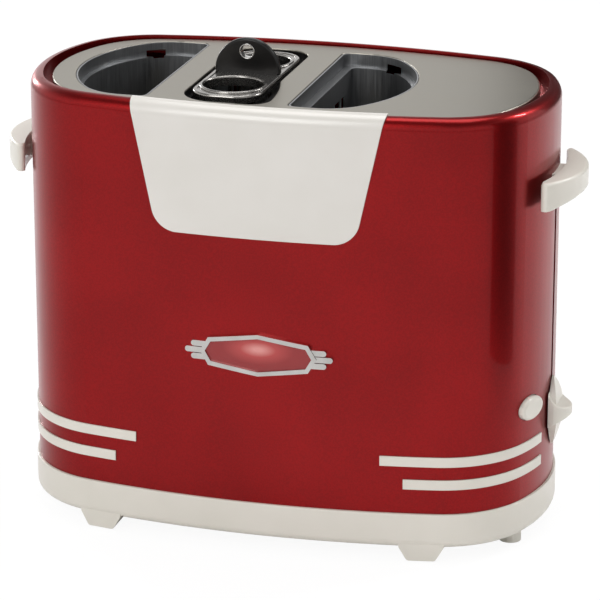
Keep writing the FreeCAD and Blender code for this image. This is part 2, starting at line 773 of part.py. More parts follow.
def make_mechanism_panel():
    x = RIGHT_PANEL_X
    half = RIGHT_PANEL_HALF
    panel = block(x, x + PANEL_T, -half, half, FLOOR_TOP, PLATE_LOW)
    foot = block(x, x + PANEL_T + PANEL_FOOT, -half, half, FLOOR_TOP, FLOOR_TOP + PANEL_T)
    low = ROD_TOP - HOOK_DROP
    hook = block(x, SPRING_X + SPRING_R, -HOOK_HALF, HOOK_HALF, low, low + PANEL_T)
    panel = fused([panel, foot, hook])
    for slot in bar_paths():
        panel = panel.cut(slot)
    return panel


def make_heater_board(side):
    x = BASKET_X + side * HEATER_OFFSET
    return block(x - HEATER_T / 2, x + HEATER_T / 2, -HEATER_HALF, HEATER_HALF, FLOOR_TOP, HEATER_TOP)


def make_heater_ribbon(side):
    x = BASKET_X + side * HEATER_OFFSET
    pitch = (HEATER_TOP - WINDOW_LOW) / RIBBON_TURNS
    half = HEATER_T / 2 + RIBBON_T
    loops = []
    for index in range(RIBBON_TURNS):
        z = WINDOW_LOW + (index + 0.4) * pitch
        outer = block(x - half, x + half, -HEATER_HALF - RIBBON_T, HEATER_HALF + RIBBON_T, z, z + RIBBON_H)
        inner = block(x - HEATER_T / 2, x + HEATER_T / 2, -HEATER_HALF, HEATER_HALF, z - 1, z + RIBBON_H + 1)
        loops.append(outer.cut(inner))
    return Part.makeCompound(loops)


def make_rod_brackets():
    half = ROD_FOOT_HALF
    foot = block(ROD_X - half, ROD_X + half, -half, half, FLOOR_TOP, FLOOR_TOP + ROD_FOOT_T)
    low = ROD_TOP - ROD_ARM_DROP
    arm = block(RIGHT_PANEL_X + PANEL_T, ROD_X + half, -half, half, low, low + ROD_ARM_T)
    hole = rod(ROD_X, 0, 0, FAR, ROD_R + SCREW_CLEARANCE)
    return Part.makeCompound([foot.cut(hole), arm.cut(hole)])


def make_magnet_bracket():
    x = ROD_X
    y = ARMATURE_Y
    half = ARMATURE_HALF
    top = BAR_LOW - REST_GAP - MAGNET_H - 2 * TONGUE_T
    foot = block(x - half, x + half, y - half, y + half, FLOOR_TOP, FLOOR_TOP + TONGUE_T)
    web = block(x - half, x - half + TONGUE_T, y - half, y + half, FLOOR_TOP, top)
    shelf = block(x - half, x + half, y - half, y + half, top - TONGUE_T, top)
    return fused([foot, web, shelf])


def make_latch_magnet():
    low = BAR_LOW - REST_GAP - MAGNET_H - 2 * TONGUE_T
    coil = rod(ROD_X, ARMATURE_Y, low + TONGUE_T, low + TONGUE_T + MAGNET_H, MAGNET_R)
    core = rod(ROD_X, ARMATURE_Y, low, BAR_LOW - REST_GAP, MAGNET_R / 2)
    flange = block(ROD_X - MAGNET_R, ROD_X + MAGNET_R, ARMATURE_Y - MAGNET_R, ARMATURE_Y + MAGNET_R,
                   low, low + TONGUE_T)
    return fused([coil, core, flange])


def make_return_spring():
    low = BAR_TOP + TONGUE_T + SPRING_WIRE_R
    high = ROD_TOP - HOOK_DROP - SPRING_WIRE_R
    helix = Part.makeHelix((high - low) / SPRING_TURNS, high - low, SPRING_R - SPRING_WIRE_R)
    section = Part.Wire([Part.Circle(Vector(SPRING_R - SPRING_WIRE_R, 0, 0), Vector(0, 1, 0), SPRING_WIRE_R).toShape()])
    coil = Part.Wire(helix.Edges).makePipeShell([section], True, True)
    coil.translate(Vector(SPRING_X, 0, low))
    return coil


def make_slide_plate():
    low = BAR_LOW - SLIDE_DROP
    x = SLIDE_X + SLIDE_T
    plate = block(SLIDE_X, x, -SLIDE_HALF, SLIDE_HALF, low, low + SLIDE_H)
    tongue = block(SLIDE_X, TONGUE_X, -TONGUE_HALF, TONGUE_HALF, BAR_TOP - TONGUE_T, BAR_TOP)
    tongue = tongue.cut(rod(ROD_X, 0, 0, FAR, BUSH_R + SCREW_CLEARANCE))
    shelf = block(SLIDE_X, ROD_X + ARMATURE_HALF, TONGUE_HALF - 1, ARMATURE_Y + ARMATURE_HALF,
                  BAR_TOP - TONGUE_T, BAR_TOP)
    hook = block(SPRING_X - SPRING_R, SLIDE_X, -3, 3, BAR_TOP, BAR_TOP + TONGUE_T)
    return fused([plate, tongue, shelf, hook])


def make_carriage_bush():
    low = BAR_TOP - BUSH_H / 2
    bush = rod(ROD_X, 0, low, low + BUSH_H, BUSH_R)
    flange = rod(ROD_X, 0, BAR_TOP - 2 * TONGUE_T, BAR_TOP - TONGUE_T, BUSH_R + 3)
    return bush.fuse(flange).cut(rod(ROD_X, 0, 0, FAR, ROD_R + ROD_FIT)).removeSplitter()


def make_armature():
    return block(ROD_X - ARMATURE_HALF, ROD_X + ARMATURE_HALF, ARMATURE_Y - ARMATURE_HALF,
                 ARMATURE_Y + ARMATURE_HALF, BAR_LOW, BAR_TOP - TONGUE_T)


def make_lifting_bars():
    bars = []
    for side in (-1, 1):
        y = side * BAR_Y
        bars.append(block(BAR_LEFT, SLIDE_X, y - BAR_T / 2, y + BAR_T / 2, BAR_LOW, BAR_TOP))
    bars.append(block(BAR_LEFT, BAR_LEFT + BAR_T, -BAR_Y, BAR_Y, BAR_LOW, BAR_TOP))
    return fused(bars)


def make_bun_rack(side):
    rack = bun_solid(side, RACK_START, -RACK_INSET, BAR_TOP, BAR_TOP + RACK_T)
    slot_w = 4.0
    for index in range(-5, 6):
        y = index * 2 * slot_w
        inner = BASKET_X + side * (BUN_GAP + RACK_START + 3)
        reach = math.sqrt((BUN_END_R - RACK_INSET - 3) ** 2 - y ** 2) + BUN_DEPTH - BUN_END_R
        outer = BASKET_X + side * (BUN_GAP + min(reach, BUN_DEPTH) - 3 - abs(index))
        x0 = min(inner, outer)
        x1 = max(inner, outer)
        rack = rack.cut(block(x0, x1, y - slot_w / 2, y + slot_w / 2, BAR_TOP - 1, BAR_TOP + RACK_T + 1))
    return rack


def make_lever_arm():
    half_t = LEVER_BLADE_T / 2
    low = LEVER_Z - LEVER_BLADE_H / 2
    high = LEVER_Z + LEVER_BLADE_H / 2
    x = TONGUE_X
    drop = block(x, x + 2, -TONGUE_HALF / 2, TONGUE_HALF / 2, low, BAR_TOP)
    blade = block(x, HALF_LENGTH + LENS_GAP, -half_t, half_t, low, high)
    return fused([drop, blade])


def make_lever_knob():
    back = HALF_LENGTH + LENS_GAP
    z = LEVER_Z
    start = (0, z - LENS_LOW)
    steps = [(LENS_HALF_W, z, 0, z + LENS_HIGH), (-LENS_HALF_W, z, 0, z - LENS_LOW)]
    lens = outline(start, steps, sideways(back)).extrude(Vector(LENS_T + 1, 0, 0))
    tip = back + LENS_TIP_T
    bulge = outline((back, z - LENS_LOW), [(tip, z - LENS_LOW), (back + LENS_T, z - 2, tip, z + LENS_HIGH),
                                           (back, z + LENS_HIGH)], upright(-KNOB_HALF_W - 1))
    depth = Vector(0, 2 * KNOB_HALF_W + 2, 0)
    lens = lens.common(bulge.extrude(depth))
    reach = HALF_LENGTH + KNOB_REACH
    plan_start = (back, -KNOB_HALF_W)
    plan_steps = [(back + 3, -KNOB_HALF_W), (reach, 0, back + 3, KNOB_HALF_W), (back, KNOB_HALF_W)]
    ledge = raised(outline(plan_start, plan_steps, flat(z - KNOB_LOW)), KNOB_LOW + KNOB_HIGH)
    profile = [(reach + 1, z - 3.5), (reach + 1, z + 1), (back + 4.5, z + 2.8, back, z + KNOB_HIGH)]
    wedge = outline((back, z - KNOB_LOW), profile, upright(-KNOB_HALF_W - 1))
    ledge = ledge.common(wedge.extrude(depth))
    rim = [edge for edge in ledge.Edges if edge.Length > 2 * KNOB_HALF_W + 1 and edge.BoundBox.XMax > back + 4]
    ledge = ledge.makeFillet(1.0, rim)
    return lens.fuse(ledge).removeSplitter()


def make_control_board():
    x = END_X + BOARD_FACE
    board = block(x - BOARD_T, x, -BOARD_HALF, BOARD_HALF, FLOOR_TOP, BOARD_TOP)
    return turned(board, BUTTON_ANGLE)


def make_board_parts():
    x = END_X + BOARD_FACE - BOARD_T
    relay = block(x - RELAY_T, x, RELAY_FRONT, RELAY_BACK, RELAY_LOW, RELAY_HIGH)
    chip = block(x - CHIP_T, x, -CHIP_HALF, CHIP_HALF, CHIP_LOW, CHIP_HIGH)
    place = Vector(x - CAPACITOR_L, CAPACITOR_Y, CAPACITOR_Z)
    capacitor = Part.makeCylinder(CAPACITOR_R, CAPACITOR_L, place, Vector(1, 0, 0))
    return turned(Part.makeCompound([relay, chip, capacitor]), BUTTON_ANGLE)


def make_cancel_switch():
    x = END_X + BOARD_FACE
    half = SWITCH_HALF
    body = block(x, x + SWITCH_T - 1, -half, half, BUTTON_Z - half, BUTTON_Z + half)
    plunger = Part.makeCylinder(1.75, SWITCH_T, Vector(x, 0, BUTTON_Z), Vector(1, 0, 0))
    return turned(body.fuse(plunger), BUTTON_ANGLE)


def make_right_handle():
    middle_x = HANDLE_REACH - HANDLE_ARC_R
    to_tip = HANDLE_ARC_R - HANDLE_TIP_R
    tip_y = HANDLE_HALF - HANDLE_TIP_R
    tip_x = middle_x + math.sqrt(to_tip ** 2 - tip_y ** 2)
    join_x = middle_x + (tip_x - middle_x) * HANDLE_ARC_R / to_tip
    join_y = tip_y * HANDLE_ARC_R / to_tip
    steps = [(HANDLE_REACH, 0, join_x, join_y), (tip_x, HANDLE_HALF, tip_x - HANDLE_TIP_R, tip_y),
             (HANDLE_INNER, 0, tip_x - HANDLE_TIP_R, -tip_y), (tip_x, -HANDLE_HALF, join_x, -join_y)]
    low = HANDLE_TOP - HANDLE_H
    ledge = raised(outline((join_x, -join_y), steps, flat(low)), HANDLE_H)
    under = [(HANDLE_REACH + 1, low + HANDLE_TAPER), (HANDLE_REACH + 1, HANDLE_TOP + 1), (0, HANDLE_TOP + 1)]
    profile = outline((HANDLE_INNER, low), under + [(0, low)], upright(-HANDLE_HALF - 1))
    ledge = ledge.common(profile.extrude(Vector(0, 2 * HANDLE_HALF + 2, 0)))
    for low_z, high_z, radius in ((HANDLE_TOP - 0.1, FAR, HANDLE_ROUND), (0, HANDLE_TOP - 8, HANDLE_UNDER_ROUND)):
        rim = []
        for edge in ledge.Edges:
            box = edge.BoundBox
            if box.XMax > HANDLE_REACH - 0.5 and box.ZMin > low_z and box.ZMax < high_z:
                rim.append(edge)
        ledge = ledge.makeFillet(radius, rim)
    bracket = block(HALF_LENGTH - 4, HANDLE_INNER + 3, -BRACKET_HALF, BRACKET_HALF, low + BRACKET_DROP,
                    HANDLE_TOP - BRACKET_DROP)
    bracket = bracket.cut(oval(0, low, HANDLE_TOP))
    handle = ledge.fuse(bracket)
    for y in handle_screw_places():
        hole = Part.makeCylinder(SCREW_R + SCREW_CLEARANCE, 10, Vector(HALF_LENGTH - 4, y, low + HANDLE_H / 2),
                                 Vector(1, 0, 0))
        handle = handle.cut(hole)
    return handle.removeSplitter()


def make_handle_screws():
    screws = []
    inner = HALF_LENGTH - SHELL_WALL - 0.8
    z = HANDLE_TOP - HANDLE_H / 2
    for y in handle_screw_places():
        head = Part.makeCylinder(SCREW_HEAD_R, SCREW_HEAD_T, Vector(inner - SCREW_HEAD_T, y, z), Vector(1, 0, 0))
        shank = Part.makeCylinder(SCREW_R, 7, Vector(inner - 1, y, z), Vector(1, 0, 0))
        screw = head.fuse(shank).removeSplitter()
        screws += [screw, mirrored_x(screw)]
    return Part.makeCompound(screws)


def make_base_skirt():
    skirt = oval(SKIRT_PROUD, FOOT_H, SHELL_Z)
    skirt = skirt.makeFillet(SKIRT_ROUND, edges_at(skirt, FOOT_H))
    top = edges_at(skirt, SHELL_Z)
    skirt = skirt.makeFillet(0.6, top)
    inner = SKIRT_PROUD - SKIRT_WALL
    skirt = skirt.cut(oval(inner, FOOT_H - 1, SHELL_Z - LEDGE_T))
    skirt = skirt.cut(oval(inner - LEDGE_W, FOOT_H, SHELL_Z + 1))
    half_top = FOOT_TOP_W / 2
    half_low = FOOT_BOTTOM_W / 2
    feet = []
    for x in (-FOOT_X, FOOT_X):
        steps = [(x + half_low, PAD_PROUD), (x + half_top, FOOT_H + 0.5), (x + half_top, FOOT_H + 4),
                 (x - half_top, FOOT_H + 4), (x - half_top, FOOT_H + 0.5)]
        foot = outline((x - half_low, PAD_PROUD), steps, upright(-HALF_WIDTH)).extrude(Vector(0, 2 * HALF_WIDTH, 0))
        low_edges = [edge for edge in foot.Edges if edge.Length > HALF_WIDTH and edge.BoundBox.ZMax < PAD_PROUD + 1]
        foot = foot.makeFillet(2.0, low_edges)
        depth = foot_face_y() - FOOT_DEPTH
        foot = foot.common(oval(SKIRT_PROUD / 2, 0, SHELL_Z))
        feet.append(foot.cut(block(-FAR, FAR, -depth, depth, -1, SHELL_Z)))
    skirt = fused([skirt] + feet)
    for x, y in pad_places():
        skirt = skirt.cut(rod(x, y, -1, PAD_T, PAD_R + SCREW_CLEARANCE))
    for x in (-POST_X, POST_X):
        for y in (-POST_Y, POST_Y):
            post = rod(x, y, FOOT_H + BOTTOM_RISE + BOTTOM_T, SHELL_Z, POST_R)
            skirt = skirt.fuse(post).cut(rod(x, y, 0, SHELL_Z + 1, SCREW_R + SCREW_CLEARANCE))
    gap = TRAY_GAP
    opening = block(BASKET_X - TRAY_HALF - 2 * gap, BASKET_X + TRAY_HALF + 2 * gap, HALF_WIDTH / 2, FAR,
                    TRAY_Z - gap, TRAY_Z - gap + TRAY_LIP_H + gap)
    skirt = skirt.cut(opening)
    inlet = Part.makeCylinder(INLET_BODY_R + SCREW_CLEARANCE, FAR, Vector(INLET_X, HALF_WIDTH / 2, INLET_Z),
                              Vector(0, 1, 0))
    return skirt.cut(inlet).removeSplitter()


def foot_face_y():
    """Distance of the skirt's face from the long axis at the feet."""
    radius = SIDE_R + SKIRT_PROUD
    return HALF_WIDTH - SIDE_R + math.sqrt(radius ** 2 - FOOT_X ** 2)


def pad_places():
    y = foot_face_y() - FOOT_DEPTH / 2
    return [(x, side * y) for x in (-FOOT_X, FOOT_X) for side in (-1, 1)]


def make_foot_pads():
    return Part.makeCompound([rod(x, y, 0, PAD_T, PAD_R) for x, y in pad_places()])


def make_bottom_plate():
    low = FOOT_H + BOTTOM_RISE
    high = low + BOTTOM_T
    plate = oval(SKIRT_PROUD - SKIRT_WALL - REST_GAP, low, high)
    for x, y in pad_places():
        half = FOOT_TOP_W / 2 + REST_GAP
        reach = FOOT_DEPTH / 2 + REST_GAP
        plate = plate.cut(block(x - half, x + half, y - reach, y + reach, 0, SHELL_Z))
    for row in range(-3, 4):
        vent = round_box(BASKET_X + row * VENT_PITCH, 0, VENT_HALF_W, VENT_HALF_L, VENT_R, 0, SHELL_Z)
        plate = plate.cut(vent)
    for y in (-POST_Y, POST_Y):
        boss = rod(POST_X, y, PAD_PROUD, low, END_FOOT_R).cut(rod(POST_X, y, 0, low, SCREW_HEAD_R + 0.3))
        plate = plate.fuse(boss)
    for x in (-POST_X, POST_X):
        for y in (-POST_Y, POST_Y):
            plate = plate.cut(rod(x, y, 0, SHELL_Z, SCREW_R + SCREW_CLEARANCE))
    for side in (-1, 1):
        x = BASKET_X + side * (TRAY_HALF - 3)
        runner = block(x - RUNNER_T / 2, x + RUNNER_T / 2, TRAY_FRONT, -TRAY_FRONT, high, TRAY_Z - REST_GAP)
        plate = plate.fuse(runner)
    return plate.removeSplitter()


def make_base_screws():
    screws = []
    top = FOOT_H + BOTTOM_RISE
    for x in (-POST_X, POST_X):
        for y in (-POST_Y, POST_Y):
            head = rod(x, y, top - SCREW_HEAD_T, top, SCREW_HEAD_R)
            screws.append(head.fuse(rod(x, y, top - 1, FLOOR_TOP, SCREW_R)).removeSplitter())
    return Part.makeCompound(screws)


def make_crumb_tray():
    left = BASKET_X - TRAY_HALF
    right = BASKET_X + TRAY_HALF
    inside = SKIRT_PROUD - SKIRT_WALL / 2
    pan = block(left, right, TRAY_FRONT, FAR, TRAY_Z, TRAY_Z + TRAY_H).common(oval(inside, 0, SHELL_Z))
    wall = TRAY_WALL
    hollow = block(left + wall, right - wall, TRAY_FRONT + wall, FAR, TRAY_Z + wall, TRAY_Z + TRAY_H + 1)
    pan = pan.cut(hollow.common(oval(SKIRT_PROUD - SKIRT_WALL - REST_GAP, 0, SHELL_Z)))
    lip_ring = oval(SKIRT_PROUD, TRAY_Z, TRAY_Z + TRAY_LIP_H - TRAY_GAP)
    lip_ring = lip_ring.cut(oval(SKIRT_PROUD - SKIRT_WALL, 0, SHELL_Z))
    lip = lip_ring.common(block(left - TRAY_GAP, right + TRAY_GAP, HALF_WIDTH / 2, FAR, 0, SHELL_Z))
    pull = oval(BEZEL_T, TRAY_Z + TRAY_LIP_H / 2, TRAY_Z + TRAY_LIP_H - TRAY_GAP)
    pull = pull.cut(oval(0, 0, SHELL_Z))
    pull = pull.common(block(BASKET_X - TRAY_PULL_HALF, BASKET_X + TRAY_PULL_HALF, 0, FAR, 0, SHELL_Z))
    return fused([pan, lip, pull])


def make_cord_grommet():
    axis = Vector(0, 1, 0)
    inner_y = INLET_FLANGE_Y - INLET_DEPTH
    at = Vector(INLET_X, inner_y, INLET_Z)
    body = Part.makeCylinder(INLET_BODY_R, INLET_DEPTH, at, axis)
    flange = Part.makeCylinder(INLET_FLANGE_R, INLET_DEPTH, at, axis).cut(oval(SKIRT_PROUD, 0, SHELL_Z + 5))
    bore = Part.makeCylinder(INLET_BORE_R, FAR, at - Vector(0, 1, 0), axis)
    return body.fuse(flange).cut(bore).removeSplitter()


def make_terminal_block():
    low = FOOT_H + BOTTOM_RISE + BOTTOM_T
    y = INLET_FLANGE_Y - INLET_DEPTH - BLOCK_INSET
    body = block(INLET_X - BLOCK_HALF, INLET_X + BLOCK_HALF, y - BLOCK_T / 2, y + BLOCK_T / 2, low, low + BLOCK_T)
    for x in (-5, 0, 5):
        body = body.cut(rod(INLET_X + x, y, low + 6, low + 13, 1.2))
    return body


def make_front_plate():
    t = TRIM_PLATE_T
    skin = rounded_oval(t, TRIM_PLATE_LOW_Z - 1, RIM_Z + t, RIM_R + t)
    skin = skin.cut(rounded_oval(0, TRIM_PLATE_LOW_Z - 2, RIM_Z, RIM_R))
    skin = skin.cut(oval(-RIM_LIP, RIM_Z - RIM_R, RIM_Z + 2 * t))
    top = RIM_Z + 2 * t
    slope = (TRIM_PLATE_TOP - TRIM_PLATE_LOW) / (RIM_Z - TRIM_PLATE_KNEE_Z)
    top_x = TRIM_PLATE_TOP + slope * 2 * t
    low_x = TRIM_PLATE_LOW - slope * (TRIM_PLATE_KNEE_Z - TRIM_PLATE_LOW_Z)
    steps = [(low_x, TRIM_PLATE_LOW_Z), (top_x, top), (-top_x, top)]
    prism = outline((-low_x, TRIM_PLATE_LOW_Z), steps, upright(0)).extrude(Vector(0, -FAR, 0))
    low_edges = []
    for edge in prism.Edges:
        box = edge.BoundBox
        if box.YLength > FAR / 2 and box.ZMax < TRIM_PLATE_KNEE_Z:
            low_edges.append(edge)
    prism = prism.makeFillet(TRIM_PLATE_R, low_edges)
    return skin.common(prism)


def badge_outline(inset):
    a = BADGE_HALF_W - 1.2 * inset
    s = BADGE_SHOULDER - 0.6 * inset
    h = BADGE_SHOULDER_H - inset
    top = BADGE_HALF_H - inset
    points = [(0, top), (s, h), (a, 0), (s, -h), (0, -top), (-s, -h), (-a, 0), (-s, h)]
    points = [(BADGE_X + x, BADGE_Z + z) for x, z in points]
    return outline(points[0], points[1:], upright(0))


def make_badge_bezel():
    frame = on_front(badge_outline(0), 0, BEZEL_T)
    return frame.cut(badge_outline(BEZEL_W).extrude(Vector(0, -FAR, 0)))


def make_badge_field():
    return on_front(badge_outline(BEZEL_W), 0, FIELD_T)


def make_badge_wings():
    hole = badge_outline(0).extrude(Vector(0, -FAR, 0))
    bars = []
    for side in (-1, 1):
        for row in (-1, 0, 1):
            reach = WING_LONG if row == 0 else WING_SHORT
            z = BADGE_Z + row * WING_PITCH
            half = WING_BAR_H / 2
            base = BADGE_X + side * BADGE_SHOULDER
            tip = BADGE_X + side * reach
            steps = [(tip - side * half, z - half), (tip, z, tip - side * half, z + half), (base, z + half)]
            bars.append(on_front(outline((base, z - half), steps, upright(0)), 0, WING_T).cut(hole))
    return Part.makeCompound(bars)


def make_front_stripes():
    stripes = []
    for side in (-1, 1):
        for row, start in enumerate((STRIPE_LOW_X, STRIPE_HIGH_X)):
            low = STRIPE_LOW_Z + row * STRIPE_PITCH
            ring = oval(STRIPE_T, low, low + STRIPE_H).cut(oval(0, low - 1, low + STRIPE_H + 1))
            keep = block(min(side * start, side * FAR), max(side * start, side * FAR), -FAR, STRIPE_END_Y, 0, FAR)
            stripes.append(ring.common(keep))
    return Part.makeCompound(stripes)


pieces = {
    "outer_shell": make_outer_shell(),
    "top_plate": make_top_plate(),
    "basket_collar": make_collar(),
    "chamber_side_walls": make_chamber_sides(),
    "chamber_end_walls": make_chamber_ends(),
    "left_bun_liner": make_bun_liner(-1),
    "right_bun_liner": make_bun_liner(1),
    "left_bun_guard": make_bun_guard(-1),
    "right_bun_guard": make_bun_guard(1),
    "left_heater_board": make_heater_board(-1),
    "right_heater_board": make_heater_board(1),
    "left_heater_ribbon": make_heater_ribbon(-1),
    "right_heater_ribbon": make_heater_ribbon(1),
    "chassis_floor": make_chassis_floor(),
    "left_end_panel": make_left_panel(),
    "mechanism_panel": make_mechanism_panel(),
    "guide_rod": rod(ROD_X, 0, FLOOR_TOP, ROD_TOP, ROD_R),
    "rod_brackets": make_rod_brackets(),
    "return_spring": make_return_spring(),
    "magnet_bracket": make_magnet_bracket(),
    "latch_magnet": make_latch_magnet(),
    "control_board": make_control_board(),
    "board_parts": make_board_parts(),
    "cancel_switch": make_cancel_switch(),
    "button_guide": make_button_guide(),
    "cancel_button": make_cancel_button(),
    "slide_plate": make_slide_plate(),
    "carriage_bush": make_carriage_bush(),
    "latch_armature": make_armature(),
    "lifting_bars": make_lifting_bars(),
    "left_bun_rack": make_bun_rack(-1),
    "right_bun_rack": make_bun_rack(1),
    "lever_arm": make_lever_arm(),
    "lever_knob": make_lever_knob(),
    "basket_frame": make_basket_frame(),
    "cage_floor": make_cage_floor(),
    "cage_wires": Part.makeCompound(cage_wires()),
    "cage_hoops": make_cage_hoops(),
    "basket_grip": make_basket_grip(),
    "grip_eyelet": make_grip_eyelet(),
    "right_handle": make_right_handle(),
    "left_handle": mirrored_x(make_right_handle()),
    "handle_screws": make_handle_screws(),
    "base_skirt": make_base_skirt(),
    "foot_pads": make_foot_pads(),
    "bottom_plate": make_bottom_plate(),
    "base_screws": make_base_screws(),
    "crumb_tray": make_crumb_tray(),
    "cord_grommet": make_cord_grommet(),
    "terminal_block": make_terminal_block(),
    "front_plate": make_front_plate(),
    "badge_bezel": make_badge_bezel(),
    "badge_field": make_badge_field(),
    "badge_wings": make_badge_wings(),
    "front_stripes": make_front_stripes(),
}

for name, shape in pieces.items():
    shape.exportStep("parts/" + name + ".step")
    box = shape.BoundBox
    print(name, "solids", len(shape.Solids), "valid", shape.isValid(), "volume", round(shape.Volume, 1),
          "x", round(box.XMin, 1), round(box.XMax, 1), "y", round(box.YMin, 1), round(box.YMax, 1),
          "z", round(box.ZMin, 1), round(box.ZMax, 1))
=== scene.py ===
# %% [markdown]
# # Dressing a retro hot dog toaster
#
# The toaster is already modelled as solids: an oval painted shell on a cream plastic base, with
# half-round wells for buns, a wire basket for sausages, a lever and a push button.
# This lesson keeps those solids as they are and gives each one the finish of the real thing,
# then adds the few small pieces that are easier to shape by hand here than in a solid modeller.
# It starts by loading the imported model, whose pieces sit at their real places in metres.

# %% Load the solids
import json
import math

import bpy
from mathutils import Matrix, Vector


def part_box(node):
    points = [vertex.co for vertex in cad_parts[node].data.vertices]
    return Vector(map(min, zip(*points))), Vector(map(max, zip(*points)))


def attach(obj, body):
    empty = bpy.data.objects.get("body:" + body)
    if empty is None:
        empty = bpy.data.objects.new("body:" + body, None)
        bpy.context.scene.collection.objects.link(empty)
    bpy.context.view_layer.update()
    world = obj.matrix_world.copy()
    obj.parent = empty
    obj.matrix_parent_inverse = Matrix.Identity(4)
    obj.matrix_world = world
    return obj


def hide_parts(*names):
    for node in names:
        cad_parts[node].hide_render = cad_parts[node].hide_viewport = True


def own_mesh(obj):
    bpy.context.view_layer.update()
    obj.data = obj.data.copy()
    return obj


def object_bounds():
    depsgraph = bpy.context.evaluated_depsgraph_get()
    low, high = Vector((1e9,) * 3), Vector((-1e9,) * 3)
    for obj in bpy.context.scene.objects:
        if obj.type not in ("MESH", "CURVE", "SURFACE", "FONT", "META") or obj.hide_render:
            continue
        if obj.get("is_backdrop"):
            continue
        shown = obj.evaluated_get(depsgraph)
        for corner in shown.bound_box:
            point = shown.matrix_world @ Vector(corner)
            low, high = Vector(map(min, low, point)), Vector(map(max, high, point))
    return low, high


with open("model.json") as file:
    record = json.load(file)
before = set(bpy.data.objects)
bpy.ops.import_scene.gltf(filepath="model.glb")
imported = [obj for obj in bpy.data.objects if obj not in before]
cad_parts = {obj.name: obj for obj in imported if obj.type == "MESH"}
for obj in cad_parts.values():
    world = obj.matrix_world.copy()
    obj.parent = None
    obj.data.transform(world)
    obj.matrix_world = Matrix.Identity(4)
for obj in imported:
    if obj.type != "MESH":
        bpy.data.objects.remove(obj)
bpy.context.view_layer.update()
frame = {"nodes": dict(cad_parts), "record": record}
nodes = frame["nodes"]

# %% [markdown]
# ## Colour and shader nodes
#
# Paint and plastic colours are easiest to read off as hex codes, as on a colour card.
# Blender shades in linear light, so one function turns a code into the linear values it needs.
# A second one makes an empty material with its main shader. A third adds a node together with
# its settings, its links and, for a colour ramp, its stops. It serves every kind of node, which
# keeps each finish below short enough to read as a recipe.


# %% Small helpers for finishes
def linear(code):
    """Linear colour with alpha, from a hex code such as 8B1A1C."""
    channels = []
    for start in (0, 2, 4):
        value = int(code[start:start + 2], 16) / 255
        channels.append(value / 12.92 if value <= 0.04045 else ((value + 0.055) / 1.055) ** 2.4)
    return (*channels, 1.0)


def finish_named(name, **values):
    """A new material; values go straight onto the sockets of its main shader."""
    material = bpy.data.materials.new(name)
    material.use_nodes = True
    shader = material.node_tree.nodes["Principled BSDF"]
    for socket, value in values.items():
        shader.inputs[socket.replace("_", " ")].default_value = value
    return material, shader


def add(material, kind, inputs=None, stops=(), **settings):
    """Adds a node. An input is a value or the output socket that feeds it.

    The stops are the (position, hex code) pairs of a colour ramp.
    """
    node = material.node_tree.nodes.new(kind)
    for name, value in settings.items():
        setattr(node, name, value)
    for name, value in (inputs or {}).items():
        if isinstance(value, bpy.types.NodeSocket):
            material.node_tree.links.new(value, node.inputs[name])
        else:
            node.inputs[name].default_value = value
    if stops:
        elements = node.color_ramp.elements
        while len(elements) < len(stops):
            elements.new(0.5)
        for element, (position, code) in zip(elements, stops):
            element.position = position
            element.color = linear(code)
    return node


def join_to(material, source, target):
    """Links an output socket to an input socket."""
    material.node_tree.links.new(source, target)


print("helpers ready; black card reads", [round(c, 4) for c in linear("1C1A18")[:3]])

# %% [markdown]
# ## Patterns that several finishes share
#
# Almost every surface here varies a little in tone and has a fine texture in its gloss.
# The recipe is always the same: a noise in the piece's own coordinates drives a colour ramp for
# the tone, and a finer one drives a bump. Stretching the noise along one axis turns it into the
# grain of brushed steel. The scale of a noise is one over the size of its spots, so a spot of
# 5 mm needs a scale of 200.

# %% Spots of tone and fine relief
MM_PER_METRE = 1000
NOISE_LOW, NOISE_HIGH = 0.3, 0.7  # a noise spends nearly all of its time between these values


def spots(material, size_mm, stretch=(1, 1, 1), detail=3.0):
    """Noise whose spots are size_mm across, stretched by the three factors."""
    place = add(material, "ShaderNodeTexCoord")
    mapping = add(material, "ShaderNodeMapping",
                  {"Vector": place.outputs["Object"], "Scale": [1 / s for s in stretch]})
    noise = add(material, "ShaderNodeTexNoise",
                {"Vector": mapping.outputs["Vector"], "Scale": MM_PER_METRE / size_mm,
                 "Detail": detail})
    return noise.outputs["Fac"]


def colour(material, shader, pattern, stops):
    """Colours the surface by a pattern."""
    tone = add(material, "ShaderNodeValToRGB", {"Fac": pattern}, stops=stops)
    join_to(material, tone.outputs["Color"], shader.inputs["Base Color"])


def mottle(material, shader, dark, light, size_mm, stretch=(1, 1, 1), detail=3.0):
    """Soft spots of two tones, size_mm across."""
    colour(material, shader, spots(material, size_mm, stretch, detail),
           [(NOISE_LOW, dark), (NOISE_HIGH, light)])


def relief(material, shader, pattern, depth_mm, strength):
    """Raises the surface by a pattern, up to depth_mm."""
    raised = add(material, "ShaderNodeBump",
                 {"Height": pattern, "Distance": depth_mm / MM_PER_METRE, "Strength": strength})
    join_to(material, raised.outputs["Normal"], shader.inputs["Normal"])


def uneven_gloss(material, shader, pattern, low, high):
    """Lets the roughness follow a pattern between two values."""
    value = add(material, "ShaderNodeMapRange",
                {"Value": pattern, "From Min": NOISE_LOW, "From Max": NOISE_HIGH,
                 "To Min": low, "To Max": high})
    join_to(material, value.outputs["Result"], shader.inputs["Roughness"])


print("patterns ready")

# %% [markdown]
# ## The painted shell
#
# The shell is pressed steel in a candy finish: a clear red lacquer over a silver base, under a
# hard clear coat. Light passes the red twice and comes back off the flakes, so the red is deep
# where the surface turns away and bright where it faces a lamp. A mostly metallic shader with a
# coat gives both. The flakes are about 0.1 mm, too fine to show, so they are drawn at 0.9 mm and
# kept faint. A very shallow wave, 25 mm long, keeps the long reflections from looking ruled.

